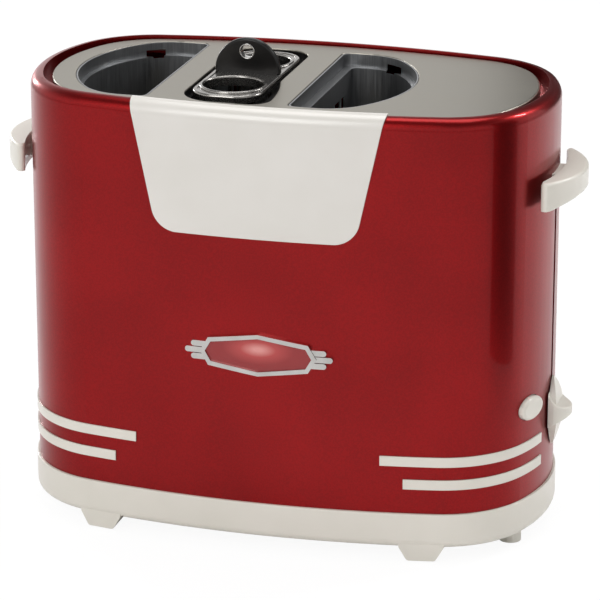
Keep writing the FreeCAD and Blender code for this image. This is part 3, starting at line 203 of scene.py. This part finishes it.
# %% Candy red lacquer
FLAKE_MM, CLOUD_MM, WAVE_MM = 0.9, 60, 25
candy, shader = finish_named("candy_red_lacquer", Metallic=0.9, Roughness=0.3,
                             Coat_Weight=0.2, Coat_Roughness=0.03)
red = add(candy, "ShaderNodeValToRGB", {"Fac": spots(candy, CLOUD_MM, detail=2.0)},
          stops=[(0.35, "880B0E"), (0.65, "920E11")])
flakes = add(candy, "ShaderNodeValToRGB", {"Fac": spots(candy, FLAKE_MM, detail=1.0)},
             stops=[(0.4, "D8D8D8"), (0.62, "FFFFFF")])
mixed = add(candy, "ShaderNodeMix", {"Factor": 0.5}, data_type="RGBA", blend_type="MULTIPLY")
join_to(candy, red.outputs["Color"], mixed.inputs["A"])
join_to(candy, flakes.outputs["Color"], mixed.inputs["B"])
join_to(candy, mixed.outputs["Result"], shader.inputs["Base Color"])
relief(candy, shader, spots(candy, WAVE_MM, detail=1.0), 0.02, 0.3)
print("made", candy.name)

# %% [markdown]
# ## The cream plastic
#
# Base, handles, lever knob, button, stripes and the plate on the front are moulded ABS with a
# smooth, slightly warm surface. Moulded ABS has a faint waviness and a very fine satin grain,
# which show only in its highlights. Two pieces of the same plastic can differ in polish, so one
# recipe makes both: the front plate's mould is polished more than the others'.


# %% Moulded cream ABS
def cream_abs(name, code, darker, roughness):
    material, shader = finish_named(name, Roughness=roughness, IOR=1.53,
                                    Coat_Weight=0.25, Coat_Roughness=0.15)
    mottle(material, shader, darker, code, 35, detail=2.0)
    relief(material, shader, spots(material, 1.2), 0.02, 0.25)
    return material


cream = cream_abs("moulded_cream_abs", "E4DFD5", "DEDACF", 0.34)
cream_front = cream_abs("glossy_cream_front", "E1DDD7", "DCD8D1", 0.26)
print("made", cream.name, cream_front.name)

# %% [markdown]
# ## Steel in five finishes
#
# The top plate is brushed steel with a warm satin lacquer, and its grain runs along the body.
# The wells under it are the same sheet in a darker grey, which is painted shade for the deep
# wells, and the basket's frame is pressed steel that is only lightly polished. All three are a
# noise stretched along the brushing.
# The inner frame is galvanised, which has crystal patches a few millimetres wide, so its pattern
# is made of cells. Wires and the badge's frame are chrome plated.


# %% Brushed and pressed steel
def brushed(name, light, dark, roughness, stretch, grain_mm=0.5):
    material, shader = finish_named(name, Metallic=1.0, Roughness=roughness)
    grain = spots(material, grain_mm, stretch, detail=2.0)
    colour(material, shader, grain, [(NOISE_LOW, dark), (NOISE_HIGH, light)])
    uneven_gloss(material, shader, spots(material, grain_mm, stretch),
                 roughness - 0.05, roughness + 0.08)
    relief(material, shader, grain, 0.02, 0.2)
    return material


champagne = brushed("brushed_champagne_steel", "A9A499", "99948A", 0.36, (60, 1, 1))
# The wells' steel is darker than the plate as painted shade for their depth.
well = brushed("heat_darkened_well_steel", "A6A7A8", "8E8F91", 0.36, (1, 1, 40))
pressed = brushed("pressed_frame_steel", "A5A29E", "95928E", 0.24, (1, 20, 1))
print("made", champagne.name, well.name, pressed.name)

# %% Galvanised and plated steel
CRYSTALS_PER_METRE = 160.0
zinc, shader = finish_named("galvanised_sheet", Metallic=0.9, Roughness=0.45)
place = add(zinc, "ShaderNodeTexCoord")
cells = add(zinc, "ShaderNodeTexVoronoi",
            {"Vector": place.outputs["Object"], "Scale": CRYSTALS_PER_METRE})
colour(zinc, shader, cells.outputs["Color"], [(0.2, "9A9D9F"), (0.8, "B9BCBD")])
uneven_gloss(zinc, shader, cells.outputs["Distance"], 0.38, 0.52)

chrome, shader = finish_named("plated_chrome", Metallic=1.0, Roughness=0.15)
mottle(chrome, shader, "B0AEAB", "C2C0BD", 12)
uneven_gloss(chrome, shader, spots(chrome, 3), 0.12, 0.2)
print("made", zinc.name, chrome.name)

# %% [markdown]
# ## Small finishes
#
# The rest are small or hidden: black phenolic plastic round the basket, rubber feet, mica boards
# with their resistance ribbon, the brass bush, the circuit board and zinc plated screws.
# Each gets its own tone and texture at a believable size.

# %% Black plastic, rubber and mica
black, shader = finish_named("polished_black_phenolic", Roughness=0.28, IOR=1.38)
mottle(black, shader, "0D0C0B", "171514", 6)
relief(black, shader, spots(black, 0.8), 0.02, 0.2)

rubber, shader = finish_named("moulded_rubber", Roughness=0.75, IOR=1.5)
mottle(rubber, shader, "262626", "343332", 1.5)
relief(rubber, shader, spots(rubber, 0.7), 0.05, 0.5)

mica, shader = finish_named("pressed_mica", Roughness=0.4, IOR=1.58, Metallic=0.15)
mottle(mica, shader, "8F8062", "C0B08C", 4, (1, 3, 3))
relief(mica, shader, spots(mica, 2, (1, 2, 2)), 0.05, 0.5)

ribbon, shader = finish_named("oxidised_nichrome", Metallic=0.85, Roughness=0.5)
mottle(ribbon, shader, "5A4A44", "8C7F78", 5)
print("made", black.name, rubber.name, mica.name, ribbon.name)

# %% [markdown]
# The magnet's coil is enamelled copper wire wound in level turns, too many to model one by one.
# Bands of painted highlight on each turn and painted shade between turns, on the copper and with a
# relief of the same bands, read as turns of wire. The other four are plain: turned brass, green
# solder mask, switch plastic and zinc plate.

# %% Brass, coil, board and screws
brass, shader = finish_named("turned_brass", Metallic=1.0, Roughness=0.3)
mottle(brass, shader, "A98643", "C9A65C", 0.6, (8, 8, 1))

coil, shader = finish_named("enamelled_copper_winding", Metallic=0.6, Roughness=0.35)
place = add(coil, "ShaderNodeTexCoord")
turns = add(coil, "ShaderNodeTexWave", {"Vector": place.outputs["Object"], "Scale": 300.0},
            bands_direction="Z")
# The light stop is painted highlight on each turn, the dark stop painted shade between turns.
colour(coil, shader, turns.outputs["Fac"], [(0.2, "5A2A12"), (0.8, "A8572A")])
relief(coil, shader, turns.outputs["Fac"], 0.2, 0.6)

board, shader = finish_named("solder_mask_board", Roughness=0.4, Coat_Weight=0.4)
colour(board, shader, spots(board, 3), [(0.45, "1E5A32"), (0.55, "2C7443")])

dark_plastic, shader = finish_named("moulded_switch_plastic", Roughness=0.5)
mottle(dark_plastic, shader, "1B1B1D", "29292C", 2)

screw_steel, shader = finish_named("zinc_plated_screw", Metallic=1.0, Roughness=0.28)
mottle(screw_steel, shader, "A3A4A2", "BDBDB8", 2)
print("made", brass.name, coil.name, board.name, dark_plastic.name, screw_steel.name)

# %% [markdown]
# ## The badge
#
# The badge is a chrome frame round a domed enamel field with three bars at each side. The field
# here stays bare: the shell's red in enamel under a clear glaze, with a painted highlight that
# makes it pale towards its upper middle. The painted highlight is an oval distance from a point
# just above the middle, run through a ramp.

# %% Enamel field with a painted highlight
HIGHLIGHT_RISE = 0.003
HIGHLIGHT_PER_METRE = (45.0, 0.0, 110.0)
enamel, shader = finish_named("red_enamel", Roughness=0.22, Metallic=0.35,
                              Coat_Weight=0.6, Coat_Roughness=0.06)
low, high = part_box("badge_field")
middle = (low + high) / 2
place = add(enamel, "ShaderNodeTexCoord")
centred = add(enamel, "ShaderNodeMapping",
              {"Vector": place.outputs["Object"],
               "Location": (-middle.x, 0, -middle.z - HIGHLIGHT_RISE)})
scaled = add(enamel, "ShaderNodeVectorMath", {0: centred.outputs["Vector"], 1: HIGHLIGHT_PER_METRE},
             operation="MULTIPLY")
away = add(enamel, "ShaderNodeVectorMath", {0: scaled.outputs["Vector"]}, operation="LENGTH")
# Painted highlight: pale pink near the point, the enamel's red further away.
colour(enamel, shader, away.outputs["Value"],
       [(0.1, "D98E88"), (0.45, "B03A38"), (0.9, "8E1517")])
relief(enamel, shader, spots(enamel, 2), 0.02, 0.3)
print("made", enamel.name, "centred at", [round(v, 4) for v in middle])

# %% [markdown]
# ## Giving every solid its finish
#
# The record says which material slot each solid has, so one dictionary from slot to finish dresses
# them all. A few solids then get a more particular finish than their slot: the front plate is
# glossier than the base, the badge field is enamel, and the basket's frame is pressed steel.

# %% Dress the solids
finish_of_slot = {
    "candy_red_paint": candy, "cream_plastic": cream, "champagne_steel": champagne,
    "well_steel": well, "black_plastic": black, "chrome_wire": chrome, "zinc_steel": zinc,
    "mica_sheet": mica, "heating_ribbon": ribbon, "bush_brass": brass, "magnet_coil": coil,
    "circuit_board": board, "switch_plastic": dark_plastic, "foot_rubber": rubber,
    "screw_steel": screw_steel, "badge_silver": chrome,
}
particular = {"front_plate": cream_front, "badge_field": enamel, "basket_frame": pressed}


def dress(piece, finish):
    """Gives a piece one finish all over."""
    piece.data.materials.clear()
    piece.data.materials.append(finish)


for part in frame["record"]["subparts"]:
    node = part["node"]
    dress(nodes[node], particular.get(node, finish_of_slot[part["material_slot"]]))

# %% [markdown]
# ## Small pieces shaped by hand
#
# Three kinds of small piece get more detail here than their solids have: the eyelet in the grip,
# the screws under the base and the rubber pads under the feet. The return spring is made again
# as well, as a coil of round wire.
# Each starts as a primitive at the size that the solid's box gives, is shaped in edit mode, and
# then takes the solid's place. Faces are picked in code by where they are and which way they face.

# %% Helpers for shaping a piece
ROUNDING_STEPS = 3
SHARP_ANGLE, SMOOTH_ANGLE = math.radians(40), math.radians(35)


def start_cylinder(name, radius, low, high, axis="Z", sides=48):
    """A cylinder between two points along Z or Y, ready in edit mode."""
    bpy.ops.object.select_all(action="DESELECT")
    turn = (math.pi / 2, 0, 0) if axis == "Y" else (0, 0, 0)
    bpy.ops.mesh.primitive_cylinder_add(vertices=sides, radius=radius, depth=(high - low).length,
                                        location=(low + high) / 2, rotation=turn)
    piece = bpy.context.object
    piece.name = name
    bpy.ops.object.transform_apply(location=True, rotation=True, scale=True)
    bpy.ops.object.mode_set(mode="EDIT")
    bpy.context.tool_settings.mesh_select_mode = (False, False, True)
    return piece


def pick(piece, wanted):
    """Selects the faces whose centre and normal pass the test."""
    bpy.ops.mesh.select_all(action="DESELECT")
    bpy.ops.object.mode_set(mode="OBJECT")
    for face in piece.data.polygons:
        face.select = wanted(face.center, face.normal)
    bpy.ops.object.mode_set(mode="EDIT")


def push(distance):
    """Extrudes the selected faces along their normals, outwards when above zero."""
    bpy.ops.mesh.extrude_region_shrink_fatten(TRANSFORM_OT_shrink_fatten={"value": distance})


def round_edges(piece, rounding):
    """Leaves edit mode, rounds the sharp edges and smooths the shading between them."""
    bpy.ops.object.mode_set(mode="OBJECT")
    edges = piece.modifiers.new("rounded_edges", "BEVEL")
    edges.width = rounding
    edges.segments = ROUNDING_STEPS
    edges.limit_method = "ANGLE"
    edges.angle_limit = SHARP_ANGLE
    bpy.ops.object.modifier_apply(modifier=edges.name)
    bpy.ops.object.shade_smooth_by_angle(angle=SMOOTH_ANGLE)


print("shaping helpers ready")

# %% [markdown]
# A shaped piece takes a solid's place by saying which solid it stands for and which finish it
# gets; it then rides on that solid's moving body. Screws and pads come in fours, one near
# each corner, so one is modelled and copied to the other three, each copy with its own mesh.


# %% Helpers for placing a piece
def body_of(node):
    """The name of the body that a solid moves with."""
    bodies = frame["record"]["behaviour"]["bodies"]
    return next(body for body, members in bodies.items() if node in members)


def stand_in(piece, finish, node):
    """Dresses a piece and puts it in the place of a solid, on that solid's body."""
    dress(piece, finish)
    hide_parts(node)
    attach(piece, body_of(node))


def copy_to_corners(piece, reach_x, reach_y, finish, node):
    """The piece again at the other three corners of a rectangle round the origin."""
    across, along = -2 * reach_x, -2 * reach_y
    for number, shift in enumerate([(across, 0, 0), (0, along, 0), (across, along, 0)], 2):
        other = piece.copy()
        other.data = piece.data.copy()
        other.data.transform(Matrix.Translation(shift))
        other.name = piece.name.rsplit("_", 1)[0] + "_" + str(number)
        bpy.context.scene.collection.objects.link(other)
        stand_in(other, finish, node)


print("placing helpers ready")

# %% [markdown]
# The eyelet is a short tube through the grip: both ends of a cylinder are inset by the wall, and
# the two inset faces are bridged into a bore. Its rims are then rounded over.

# %% Eyelet in the grip
EYELET_WALL, EYELET_ROUNDING = 0.0008, 0.0003
low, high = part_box("grip_eyelet")
middle = (low + high) / 2
front_end = Vector((middle.x, low.y, middle.z))
rear_end = Vector((middle.x, high.y, middle.z))
eyelet = start_cylinder("grip_eyelet_ring", (high.x - low.x) / 2, front_end, rear_end,
                        axis="Y", sides=64)
pick(eyelet, lambda centre, normal: abs(normal.y) > 0.9)
bpy.ops.mesh.inset(thickness=EYELET_WALL)
bpy.ops.mesh.bridge_edge_loops()
round_edges(eyelet, EYELET_ROUNDING)
stand_in(eyelet, chrome, "grip_eyelet")
print("eyelet faces:", len(eyelet.data.polygons))

# %% [markdown]
# A base screw is a pan head with a cross recess, and a shank that goes up through the base. The
# shank is the head's inset upper face, pushed up.

# %% Screw head and shank
HEAD_RADIUS, SHANK_RADIUS, HEAD_HEIGHT = 0.0028, 0.0015, 0.0018
low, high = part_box("base_screws")
reach_x, reach_y = high.x - HEAD_RADIUS, high.y - HEAD_RADIUS
seat = Vector((reach_x, reach_y, low.z))
base_screw = start_cylinder("base_screw_1", HEAD_RADIUS, seat, seat + Vector((0, 0, HEAD_HEIGHT)))
pick(base_screw, lambda centre, normal: normal.z > 0.9)
bpy.ops.mesh.inset(thickness=HEAD_RADIUS - SHANK_RADIUS)
push(high.z - low.z - HEAD_HEIGHT)
bpy.ops.object.mode_set(mode="OBJECT")
print("screw length:", round(high.z - low.z, 4))

# %% [markdown]
# The recess is cut by a small cross, which is a cube with its four sides pulled out. Half of the
# cross's height lies inside the head, and taking it away leaves the recess.

# %% Cross recess
CROSS_WIDTH, CROSS_ARM, CROSS_STRETCH, SCREW_ROUNDING = 0.0008, 0.0011, 2.4, 0.00025
bpy.ops.object.select_all(action="DESELECT")
bpy.ops.mesh.primitive_cube_add(size=CROSS_WIDTH, location=seat)
cross = bpy.context.object
bpy.ops.object.transform_apply(location=True, rotation=True, scale=True)
bpy.ops.object.mode_set(mode="EDIT")
pick(cross, lambda centre, normal: abs(normal.z) < 0.1)
bpy.ops.mesh.extrude_faces_move(TRANSFORM_OT_shrink_fatten={"value": CROSS_ARM})
bpy.ops.mesh.select_all(action="SELECT")
bpy.ops.transform.resize(value=(1, 1, CROSS_STRETCH), center_override=seat)
bpy.ops.object.mode_set(mode="OBJECT")

bpy.ops.object.select_all(action="DESELECT")
bpy.context.view_layer.objects.active = base_screw
base_screw.select_set(True)
recess = base_screw.modifiers.new("cross_recess", "BOOLEAN")
recess.operation = "DIFFERENCE"
recess.object = cross
bpy.ops.object.modifier_apply(modifier=recess.name)
bpy.data.objects.remove(cross)
round_edges(base_screw, SCREW_ROUNDING)
stand_in(base_screw, screw_steel, "base_screws")
copy_to_corners(base_screw, reach_x, reach_y, screw_steel, "base_screws")
print("screw faces:", len(base_screw.data.polygons))

# %% [markdown]
# A foot pad is a rubber disc let into the foot. Its underside has a raised ring round a shallow
# dish, so that it grips the worktop like a small suction cup. The dish comes from insetting the
# lower face and pushing it in and out by turns.

# %% Rubber pads
PAD_RADIUS, RING_WIDTH, DISH_DEPTH, PAD_ROUNDING = 0.0055, 0.0011, 0.0004, 0.00015
low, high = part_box("foot_pads")
reach_x, reach_y = high.x - PAD_RADIUS, high.y - PAD_RADIUS
seat, pad_top = Vector((reach_x, reach_y, low.z)), Vector((reach_x, reach_y, high.z))
foot_pad = start_cylinder("foot_pad_1", PAD_RADIUS, seat, pad_top)
pick(foot_pad, lambda centre, normal: normal.z < -0.9)
for step in (-DISH_DEPTH, DISH_DEPTH / 2, -DISH_DEPTH / 2):
    bpy.ops.mesh.inset(thickness=RING_WIDTH)
    push(step)
round_edges(foot_pad, PAD_ROUNDING)
stand_in(foot_pad, rubber, "foot_pads")
copy_to_corners(foot_pad, reach_x, reach_y, rubber, "foot_pads")
print("pad faces:", len(foot_pad.data.polygons))

# %% [markdown]
# The return spring pulls the carriage up between its hook and the slide plate. A small ring on its
# side is wound round the spring's axis by a Screw modifier, and both open ends are then closed.

# %% Return spring
SPRING_TURNS, STEPS_PER_TURN, WIRE_RADIUS, WIRE_SIDES = 20, 20, 0.0004, 8
COIL_SMOOTH_ANGLE = math.radians(60)
low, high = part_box("return_spring")
middle = (low + high) / 2
coil_radius = (high.x - low.x) / 2 - WIRE_RADIUS
bpy.ops.object.select_all(action="DESELECT")
bpy.ops.mesh.primitive_circle_add(vertices=WIRE_SIDES, radius=WIRE_RADIUS,
                                  location=(coil_radius, 0, 0), rotation=(math.pi / 2, 0, 0))
spring = bpy.context.object
spring.name = "return_spring_coil"
bpy.ops.object.transform_apply(location=True, rotation=True, scale=True)
winding = spring.modifiers.new("winding", "SCREW")
winding.steps = winding.render_steps = STEPS_PER_TURN
winding.iterations = SPRING_TURNS
winding.screw_offset = (high.z - low.z - 2 * WIRE_RADIUS) / SPRING_TURNS
bpy.ops.object.modifier_apply(modifier=winding.name)
bpy.ops.object.mode_set(mode="EDIT")
bpy.ops.mesh.select_all(action="SELECT")
bpy.ops.mesh.fill_holes(sides=WIRE_SIDES)
bpy.ops.mesh.select_all(action="SELECT")
bpy.ops.mesh.normals_make_consistent(inside=False)
bpy.ops.transform.translate(value=(middle.x, middle.y, low.z + WIRE_RADIUS))
bpy.ops.object.mode_set(mode="OBJECT")
bpy.ops.object.shade_smooth_by_angle(angle=COIL_SMOOTH_ANGLE)
stand_in(spring, screw_steel, "return_spring")
print("spring faces:", len(spring.data.polygons))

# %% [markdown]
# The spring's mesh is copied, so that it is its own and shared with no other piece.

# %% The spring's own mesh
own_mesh(spring)

# %% [markdown]
# ## Floor, light and camera
#
# The photograph is a plain studio picture: a white background, soft light from the front left,
# from behind and from above, and a long lens from a little above the rim. The floor is a pale
# sheet that looks white to the camera and still takes the soft shadow under the base.

# %% Floor
FLOOR_SIZE, GLOW_STRENGTH, GLOW_SHARE = 12, 1.03, 0.9
bpy.ops.object.select_all(action="DESELECT")
bpy.ops.mesh.primitive_plane_add(size=FLOOR_SIZE, location=(0, 0, 0))
floor = bpy.context.object
floor.name = "studio_floor"
sheet, shader = finish_named("white_paper_sheet", Roughness=0.9)
shader.inputs["Base Color"].default_value = linear("FAFAFA")
path = add(sheet, "ShaderNodeLightPath")
glow = add(sheet, "ShaderNodeEmission", {"Color": (1, 1, 1, 1), "Strength": GLOW_STRENGTH})
mix = add(sheet, "ShaderNodeMixShader")
share = add(sheet, "ShaderNodeMath", {0: path.outputs["Is Camera Ray"], 1: GLOW_SHARE},
            operation="MULTIPLY")
join_to(sheet, share.outputs[0], mix.inputs[0])
join_to(sheet, shader.outputs[0], mix.inputs[1])
join_to(sheet, glow.outputs[0], mix.inputs[2])
join_to(sheet, mix.outputs[0], sheet.node_tree.nodes["Material Output"].inputs["Surface"])
dress(floor, sheet)
floor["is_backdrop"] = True
print("floor ready")

# %% [markdown]
# The world is white to the camera and through clear things. Reflections see it white near the
# horizon and dimmer higher up, as a studio's walls and dark ceiling are, and it lights the
# toaster at a level between the two.

# %% Background
WORLD_LIGHT, CEILING_LIGHT = 0.45, 0.2
WALL_TOP, CEILING_START = 0.3, 0.75
world = bpy.data.worlds.new("studio")
bpy.context.scene.world = world
world.use_nodes = True
path = add(world, "ShaderNodeLightPath")
place = add(world, "ShaderNodeTexCoord")
seen = add(world, "ShaderNodeMath",
           {0: path.outputs["Is Camera Ray"], 1: path.outputs["Is Transmission Ray"]},
           operation="MAXIMUM")
sky = add(world, "ShaderNodeSeparateXYZ", {"Vector": place.outputs["Generated"]})
shade = add(world, "ShaderNodeMapRange",
            {"Value": sky.outputs["Z"], "From Min": WALL_TOP, "From Max": CEILING_START,
             "To Min": 1.0, "To Max": CEILING_LIGHT})
lit = add(world, "ShaderNodeMapRange",
          {"Value": path.outputs["Is Glossy Ray"], "To Min": WORLD_LIGHT,
           "To Max": shade.outputs["Result"]})
strength = add(world, "ShaderNodeMapRange",
               {"Value": seen.outputs[0], "To Min": lit.outputs["Result"], "To Max": 1.0})
backdrop = world.node_tree.nodes["Background"]
backdrop.inputs["Color"].default_value = (1, 1, 1, 1)
join_to(world, strength.outputs["Result"], backdrop.inputs["Strength"])
print("background ready")

# %% [markdown]
# A large lamp at the front left and one above give the soft light. Two narrow ones behind draw
# the bright lines on the rolled rim. Each is placed at a given point and turned towards the
# toaster.


# %% Lamps
def lamp(name, place, aim, size, power):
    """A rectangular lamp at a place, turned towards its aim."""
    light = bpy.data.lights.new(name, "AREA")
    light.shape = "RECTANGLE"
    light.size, light.size_y = size
    light.energy = power
    holder = bpy.data.objects.new(name, light)
    bpy.context.scene.collection.objects.link(holder)
    holder.location = place
    holder.rotation_euler = (Vector(aim) - Vector(place)).to_track_quat("-Z", "Y").to_euler()


lamp("key_front", (-0.6, -1.9, 1.5), (0, 0, 0.12), (1.0, 1.2), 18)
lamp("top_soft", (0, 0.3, 1.9), (0, 0, 0.2), (1.4, 1.0), 14)
lamp("rim_left", (-1.3, 1.1, 0.5), (0, 0, 0.2), (0.16, 0.30), 6)
lamp("rim_right", (1.1, 0.8, 1.2), (0, 0, 0.2), (0.14, 0.36), 7)

# %% [markdown]
# Glossy things are lit as much by what is dark around them as by lamps. Two grey cards, which only
# reflections can see, give the shell its soft dark band near the right corner and the top plate
# its fall from light to darker towards the right.

# %% Grey cards for the reflections
card_board, shader = finish_named("charcoal_card", Roughness=0.9)
mottle(card_board, shader, "484848", "525252", 8)


def grey_card(name, place, turn, size):
    """An upright card that shows in reflections alone."""
    bpy.ops.object.select_all(action="DESELECT")
    bpy.ops.mesh.primitive_plane_add(size=1, location=place,
                                     rotation=(math.pi / 2, 0, math.radians(turn)))
    card = bpy.context.object
    card.name = name
    card.scale = (size[0], size[1], 1)
    bpy.ops.object.transform_apply(location=True, rotation=True, scale=True)
    for kind in ("camera", "diffuse", "transmission", "volume_scatter", "shadow"):
        setattr(card, "visible_" + kind, False)
    dress(card, card_board)
    card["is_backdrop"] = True


grey_card("card_right", (0.44, -0.07, 0.20), 90, (0.20, 0.50))
grey_card("card_back", (0.32, 0.55, 0.42), 0, (0.62, 0.50))
print("cards ready")

# %% [markdown]
# The camera's place, direction and lens were worked out beforehand from edges whose real shape is
# known, such as the oval rim. The lens is written as its length in picture points, for a picture
# 600 points wide, and turned into millimetres for Blender's sensor.

# %% Camera
AZIMUTH, ELEVATION = math.radians(15.417), math.radians(18.374)
CAMERA_PLACE = (0.46545, -1.67741, 0.69558)
LENS_POINTS, PICTURE_POINTS, SENSOR_MM = 3296.55, 600, 36.0
camera_data = bpy.data.cameras.new("camera")
camera = bpy.data.objects.new("camera", camera_data)
bpy.context.scene.collection.objects.link(camera)
camera.location = CAMERA_PLACE
back = Vector((math.sin(AZIMUTH) * math.cos(ELEVATION), -math.cos(AZIMUTH) * math.cos(ELEVATION),
               math.sin(ELEVATION)))
camera.rotation_euler = (-back).to_track_quat("-Z", "Y").to_euler()
camera_data.sensor_width = SENSOR_MM
camera_data.lens = LENS_POINTS / PICTURE_POINTS * SENSOR_MM
bpy.context.scene.camera = camera
bpy.context.scene.view_settings.view_transform = "Standard"
print("camera lens", round(camera_data.lens, 1), "mm")

# %% [markdown]
# ## The dressed model's size
#
# The box round the dressed model, leaving out the floor and cards, is worked out and printed.
# The dressed model has to stay inside the solids' own box.

# %% Size of the dressed model
low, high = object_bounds()
print("visual box", [round(v, 4) for v in low], [round(v, 4) for v in high])
